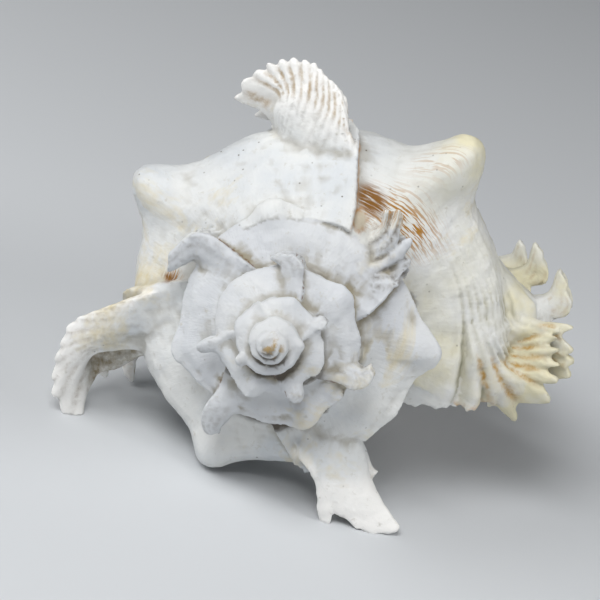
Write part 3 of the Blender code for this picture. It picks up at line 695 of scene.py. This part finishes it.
# Brown dashes on the ramp in front of two old lips, dense at the lip itself, and the worn recess
# with a stained rim beside the top frond.
masks["brown"] = np.maximum(window(angle, 28.0, 56.0, 16.0) * window(share, 0.10, 0.20, 0.08),
                            window(angle, 157.0, 163.0, 4.0) * window(share, 0.12, 0.17, 0.05))
masks["brown"] += 0.4 * window(angle, 43.0, 52.0, 6.0) * window(share, 0.25, 0.32, 0.05)
masks["dense"] = np.maximum(window(np.hypot((behind - 67.0) / 8.0, (share - 0.15) / 0.045), -1.0, 0.8, 0.6),
                            window(np.hypot((angle - 161.5) / 3.0, (share - 0.15) / 0.03), -1.0, 0.8, 0.6))
recess = np.hypot((behind - 70.0) / 3.6, (share - 0.092) / 0.026)
before_lip = (behind < 72.6) * (behind > 40.0) * weathered
masks["recess"] = window(recess, -1.0, 0.9, 0.4) * before_lip
masks["rim"] = window(recess, 0.80, 1.10, 0.3) * before_lip

# The fresh end of the whorl: its stained lip edge, its cream side and knob, and painted shade in its fold
# grooves.
masks["lip_edge"] = window(behind, -60.0, -23.0, 2.0) * window(share, 0.02, 0.32, 0.08)
masks["cream"] = (0.6 * window(angle, -40.0, 50.0, 40.0) + window(angle, -60.0, 5.0, 8.0) * (share > 0.36)
                  + 0.4 * window(angle, -60.0, -8.0, 6.0)
                  + window(np.hypot((angle - 43.0) / 9.0, (share - SHOULDER) / 0.1), -1.0, 0.7, 0.8))
start, spacing = fold_lines(angle)
fold = (share - start) / spacing
# Painted shade in the grooves between the lip's folds.
masks["fold"] = window(angle, -60.0, 6.0, 14.0) * (1.0 - np.abs(np.cos(np.pi * fold)) ** 0.8)
masks["fold"] *= window(fold, -0.8, 9.2, 1.2) * weathered * (1.0 - 0.6 * on_leaf)

# The fronds: clean white rims, ochre in the flutes, grimy grey and painted shade in their grooves, and
# painted shade in the left frond's trough.
masks["clean"] = on_leaf * window(leaf_along, 0.45, 2.0, 0.4) * (leaf_grime_and_shade < 0.33) * (angle > 20.0)
masks["ochre"] = on_leaf * leaf_ochre * window(groove, 0.38, 9.0, 0.4) * window(leaf_along, 0.60, 0.94, 0.16)
# Grimy grey with painted shade, darker in the grooves of the flutes.
masks["grime_and_groove_shade"] = on_leaf * leaf_grime_and_shade * window(groove, 0.35, 9.0, 0.6) * window(leaf_along, 0.15, 2.0, 0.3)
# Painted shade in the left frond's deep trough.
trough = window(leaf_along, 0.05, 0.80, 0.2) * window(leaf_flute, 10.7, 12.6, 0.8)
masks["trough_shade"] = on_leaf * trough * (np.abs(angle - 190.0) < 22.0)

# Dirt and painted shade in the hollows of the surface, dark suture seams, painted shadow under the
# ledges and painted shade on the ramps of the spire's underside, the spire's grey cast, and the worn,
# browner tip of its first whorls.
older = 0.2 + 0.4 * window(angle, 60.0, 9000.0, 30.0) + 0.4 * (angle > 345.0)
# Dirt and painted shade, darker where the surface is sunk into a hollow.
masks["dirt_and_cavity_shade"] = np.clip((sunk - 0.05) / 0.4, 0.0, 1.0) * weathered * older
below = window((angle - 60.0) % 360.0, 150.0, 270.0, 80.0)
# Painted shadow, widening under the shoulders' ledges on the underside, and a dark suture line on the upper
# side.
seam_and_shadow_edge = 0.062 + (0.062 + 0.045 * np.clip((angle - 480.0) / 300.0, 0.0, 1.0)) * below
masks["seam_and_ledge_shadow"] = window(share, -1.0, seam_and_shadow_edge, 0.025) * (0.35 + 0.65 * below) * (angle > 215.0) * weathered
masks["seam_and_ledge_shadow"] += (0.45 * window(share, SUTURE - 0.008, SUTURE + 0.004, 0.007)
                  * window(angle, 62.0, 180.0, 10.0))
# Painted shade on the ramps beneath the ledges of the spire's underside.
masks["hollow"] = 0.7 * window(share, -1.0, 0.17, 0.10) * below * (angle > 290.0) * weathered
masks["outside"] = 1.0 * weathered
masks["spire"] = window(angle, 345.0, 9000.0, 30.0)
from_axis = np.hypot(points[:, 0] - 1.0, points[:, 1] + 0.5)
masks["worn"] = window(from_axis, -1.0, 2.6, 2.0) * (points[:, 2] > -12.0)
for name, values in masks.items():
    mesh.attributes.new(name, "FLOAT", "POINT").data.foreach_set("value", values.astype(np.float32))

# The place that the dashes and growth lines follow, in mm on the last whorl: along it, across it and
# out. On a frond it runs along the sheet and across the flutes, over so many mm of the pattern for its
# length and for each flute.
degree = SHOULDER_RADIUS * math.radians(1.0)
profile_length = SHOULDER_RADIUS * np.linalg.norm(np.diff(PROFILE, axis=0), axis=1).sum()
FROND_PATTERN = (27.33, 9.94, 0.0)
on_whorls = np.stack([angle * degree, share * profile_length, height], -1)
on_fronds = np.stack([leaf_along, leaf_flute, 0.0 * angle], -1) * FROND_PATTERN
pattern = (on_whorls * (1.0 - on_leaf[:, None]) + on_fronds * on_leaf[:, None]).astype(np.float32)
mesh.attributes.new("pattern", "FLOAT_VECTOR", "POINT").data.foreach_set("vector", pattern.ravel())

# The shell lies on its lower frond, the left frond's tip and the canal, as in the CAD model: the
# points that touch the floor in mm, how far they are trimmed flat, and the middle of the footprint.
CONTACTS = ((9.8, -53.1, -49.0), (-61.2, -31.1, -50.2), (-1.1, -15.0, -183.1))
TRIM = 0.5
CENTRE = (9.05, 102.77)
frond_tip, left_tip, canal_rim = (Vector(point) for point in CONTACTS)
up = (canal_rim - frond_tip).cross(left_tip - frond_tip).normalized()
forward = up.cross(Vector((0.0, 0.0, -1.0))).cross(up).normalized()
turned = Matrix((forward.cross(up), forward, up)).to_4x4()
resting = Matrix.Translation((-CENTRE[0], -CENTRE[1], -up.dot(frond_tip) - TRIM)) @ turned
resting = Matrix.Scale(0.001, 4) @ resting
mesh.transform(resting)
bm = bmesh.new()
bm.from_mesh(mesh)
whole = bm.verts[:] + bm.edges[:] + bm.faces[:]
cut = bmesh.ops.bisect_plane(bm, geom=whole, dist=1e-7, plane_co=(0, 0, 0), plane_no=(0, 0, -1),
                             clear_outer=True)
rims = [item for item in cut["geom_cut"] if isinstance(item, bmesh.types.BMEdge)]
bmesh.ops.edgeloop_fill(bm, edges=rims)
bm.to_mesh(mesh)
bm.free()
mesh.shade_smooth()
shell = bpy.data.objects.new("murex_shell", mesh)
bpy.context.scene.collection.objects.link(shell)
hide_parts("shell")
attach(shell, "root")


# Weathered aragonite, worn by the sea: it gives a chalky white with a cool grey cast outside, brown
# and ochre stains in front of the old lips and in the flutes, painted shade in its hollows, grooves and
# under the spire's ledges, and a smooth glossy lining in the mouth.
def colour(code):
    parts = [int(code[i:i + 2], 16) / 255.0 for i in (1, 3, 5)]
    return tuple(p / 12.92 if p <= 0.04045 else ((p + 0.055) / 1.055) ** 2.4 for p in parts) + (1.0,)


chalk = bpy.data.materials.new("weathered_aragonite")
chalk.use_nodes = True
tree = chalk.node_tree
surface = tree.nodes["Principled BSDF"]


def add(kind, settings, links):
    """Adds a node, sets its properties and sockets, and links its inputs."""
    node = tree.nodes.new(kind)
    for key, value in settings.items():
        if isinstance(key, str) and hasattr(node, key):
            setattr(node, key, value)
        else:
            node.inputs[key].default_value = value
    for key, source in links.items():
        tree.links.new(source, node.inputs[key])
    return node


position = add("ShaderNodeTexCoord", {}, {}).outputs["Object"]
pattern = add("ShaderNodeAttribute", {"attribute_name": "pattern"}, {}).outputs["Vector"]
on = {name: add("ShaderNodeAttribute", {"attribute_name": name}, {}).outputs["Fac"] for name in masks}

# The patterns' real sizes in mm: clouds of grey, larger patches, fine grain, and the spacing of the
# pits. The dashes' and growth lines' sizes are along the whorl, across it and out.
METRE = 1000.0
CLOUD = 22.2
PATCH = 35.7
GRAIN = 2.38
PIT_SPACING = 3.85
DASH = (7.59, 0.675, 6.25)
GROWTH_LINE = (1.265, 8.88, 6.25)
clouds = add("ShaderNodeTexNoise", {"Scale": METRE / CLOUD, "Detail": 4.0, "Roughness": 0.6},
             {"Vector": position})
fine = add("ShaderNodeTexNoise", {"Scale": METRE / GRAIN, "Detail": 4.0, "Roughness": 0.65},
           {"Vector": position})
patches = add("ShaderNodeTexNoise",
              {"Scale": METRE / PATCH, "Detail": 5.0, "Roughness": 0.7, "Distortion": 0.6},
              {"Vector": position})
pits = add("ShaderNodeTexVoronoi", {"Scale": METRE / PIT_SPACING}, {"Vector": position})
dash_place = add("ShaderNodeVectorMath", {"operation": "DIVIDE", 1: DASH}, {0: pattern})
dashes = add("ShaderNodeTexNoise", {"Scale": 1.0, "Detail": 2.0}, {"Vector": dash_place.outputs[0]})
line_place = add("ShaderNodeVectorMath", {"operation": "DIVIDE", 1: GROWTH_LINE}, {0: pattern})
lines = add("ShaderNodeTexNoise", {"Scale": 1.0, "Detail": 4.0, "Roughness": 0.55},
            {"Vector": line_place.outputs[0]})

# Each layer of colour, from the bottom up: the colour, the mask it lies in, and the pattern with the
# values of it where the colour starts and is full.
LAYERS = (("#CBCED2", "spire", clouds, 0.10, 0.62), ("#F6F5F2", "clean", clouds, 0.10, 0.40),
          ("#D3C69E", "outside", patches, 0.56, 0.74), ("#B7B3A6", "outside", fine, 0.60, 0.86),
          ("#E3DDBF", "cream", clouds, 0.38, 0.66), ("#A3A09A", "hollow", clouds, 0.10, 0.60),
          ("#8E8671", "dirt_and_cavity_shade", clouds, 0.15, 0.65), ("#A29E84", "fold", clouds, 0.05, 0.50),
          ("#BC9448", "ochre", fine, 0.30, 0.62), ("#4F483E", "seam_and_ledge_shadow", clouds, 0.20, 0.50),
          ("#77726A", "grime_and_groove_shade", fine, 0.24, 0.58), ("#A87410", "brown", dashes, 0.50, 0.56),
          ("#857758", "trough_shade", fine, 0.25, 0.70), ("#7E5206", "dense", dashes, 0.28, 0.50),
          ("#C6BCA8", "recess", clouds, 0.0, 0.3), ("#A9752E", "rim", fine, 0.30, 0.60),
          ("#C79A58", "lip_edge", fine, 0.35, 0.75), ("#B98A58", "old_lip", clouds, 0.35, 0.60),
          ("#6E4E32", "crack", clouds, 0.44, 0.54), ("#A98F5E", "worn", fine, 0.46, 0.62),
          ("#F4E6D8", "lining", clouds, 0.0, 0.1))
cast = add("ShaderNodeMapRange", {"From Min": 0.42, "From Max": 0.68}, {"Value": clouds.outputs["Fac"]})
base = add("ShaderNodeMix", {"data_type": "RGBA", 6: colour("#DFE0DE"), 7: colour("#CFD3D6")},
           {0: cast.outputs["Result"]})
for code, name, source, start, full in LAYERS:
    spread = add("ShaderNodeMapRange", {"From Min": start, "From Max": full},
                 {"Value": source.outputs["Fac"]})
    amount = add("ShaderNodeMath", {"operation": "MULTIPLY"}, {0: on[name], 1: spread.outputs["Result"]})
    base = add("ShaderNodeMix", {"data_type": "RGBA", 7: colour(code)},
               {0: amount.outputs[0], 6: base.outputs[2]})
specks = add("ShaderNodeMapRange", {"From Min": 0.10, "From Max": 0.04},
             {"Value": pits.outputs["Distance"]})
rare = add("ShaderNodeMapRange", {"From Min": 0.48, "From Max": 0.62}, {"Value": clouds.outputs["Fac"]})
amount = add("ShaderNodeMath", {"operation": "MULTIPLY"},
             {0: specks.outputs["Result"], 1: rare.outputs["Result"]})
base = add("ShaderNodeMix", {"data_type": "RGBA", 7: colour("#5F574A")},
           {0: amount.outputs[0], 6: base.outputs[2]})
tree.links.new(base.outputs[2], surface.inputs["Base Color"])
surface.inputs["IOR"].default_value = 1.53
gloss = add("ShaderNodeMapRange", {"To Min": 0.62, "To Max": 0.22}, {"Value": on["lining"]})
tree.links.new(gloss.outputs["Result"], surface.inputs["Roughness"])
first = add("ShaderNodeBump", {"Strength": 0.4, "Distance": 0.0004}, {"Height": lines.outputs["Fac"]})
second = add("ShaderNodeBump", {"Strength": 0.5, "Distance": 0.0005},
             {"Height": fine.outputs["Fac"], "Normal": first.outputs["Normal"]})
tree.links.new(second.outputs["Normal"], surface.inputs["Normal"])
mesh.materials.append(chalk)

# The camera looks at the spire at the photograph's angle, and the shell fills the frame as it does
# there. The coiling axis leans to the right and up in the view by these shares of its length.
# Distances are in mm, and pixels are those of a square frame.
AXIS_LEAN = (0.150, 0.195)
CAMERA_DISTANCE = 676.0
SENSOR = 36.0
FRAME_PIXELS = 600.0
FOCAL_PIXELS = 2600.0
CENTRE_FROM_APEX = (33.0, 49.0)
axis = Vector((*AXIS_LEAN, -math.sqrt(1.0 - AXIS_LEAN[0]**2 - AXIS_LEAN[1]**2)))
right = (Vector((1.0, 0.0, 0.0)) - axis.x * axis).normalized()
above = right.cross(axis)
to_camera = Matrix((right, above, -axis)).transposed().to_4x4()
aim = Vector((*CENTRE_FROM_APEX, -FOCAL_PIXELS)).normalized()
side = Vector((0.0, 1.0, 0.0)).cross(-aim).normalized()
aimed = Matrix((side, (-aim).cross(side), -aim)).transposed().to_4x4()
eye = resting @ to_camera.inverted() @ Vector((0.0, 0.0, CAMERA_DISTANCE))
camera = bpy.data.objects.new("camera", bpy.data.cameras.new("camera"))
camera.data.lens = SENSOR * FOCAL_PIXELS / FRAME_PIXELS
camera.data.clip_start = 0.01
camera.matrix_world = Matrix.Translation(eye) @ turned @ to_camera.inverted() @ aimed
bpy.context.scene.collection.objects.link(camera)
bpy.context.scene.camera = camera

# A plain pale floor of matt paper, which gives an even grey without shine, and four soft studio
# lights: a strong one above the camera, one on each side and a weak one below it.
FLOOR_HALF = 6.0
bm = bmesh.new()
bmesh.ops.create_grid(bm, x_segments=1, y_segments=1, size=FLOOR_HALF)
floor_mesh = bpy.data.meshes.new("floor")
bm.to_mesh(floor_mesh)
bm.free()
floor = bpy.data.objects.new("floor", floor_mesh)
bpy.context.scene.collection.objects.link(floor)
paper = bpy.data.materials.new("matt_paper")
paper.use_nodes = True
paper.node_tree.nodes["Principled BSDF"].inputs["Base Color"].default_value = colour("#CDD0D3")
paper.node_tree.nodes["Principled BSDF"].inputs["Roughness"].default_value = 0.9
floor_mesh.materials.append(paper)


def softbox(name, direction, watts, size):
    """A square area light, one metre from the shell, in a direction seen from the camera."""
    lamp = bpy.data.objects.new(name, bpy.data.lights.new(name, "AREA"))
    lamp.data.energy = watts
    lamp.data.size = size
    way = (camera.matrix_world.to_3x3() @ Vector(direction)).normalized()
    lamp.matrix_world = Matrix.Translation(way) @ way.to_track_quat("Z", "Y").to_matrix().to_4x4()
    bpy.context.scene.collection.objects.link(lamp)


softbox("key_light", (-0.1, 0.72, 1.0), watts=6.3, size=0.5)
softbox("left_light", (-0.8, 1.0, 0.6), watts=3.4, size=0.5)
softbox("right_light", (1.0, 0.2, 0.5), watts=3.4, size=0.5)
softbox("low_light", (-0.1, -0.4, 1.0), watts=1.5, size=0.6)
world = bpy.data.worlds.new("studio")
world.use_nodes = True
world.node_tree.nodes["Background"].inputs["Color"].default_value = colour("#C8CDD4")
world.node_tree.nodes["Background"].inputs["Strength"].default_value = 0.04
bpy.context.scene.world = world
bpy.context.scene.view_settings.view_transform = "Standard"
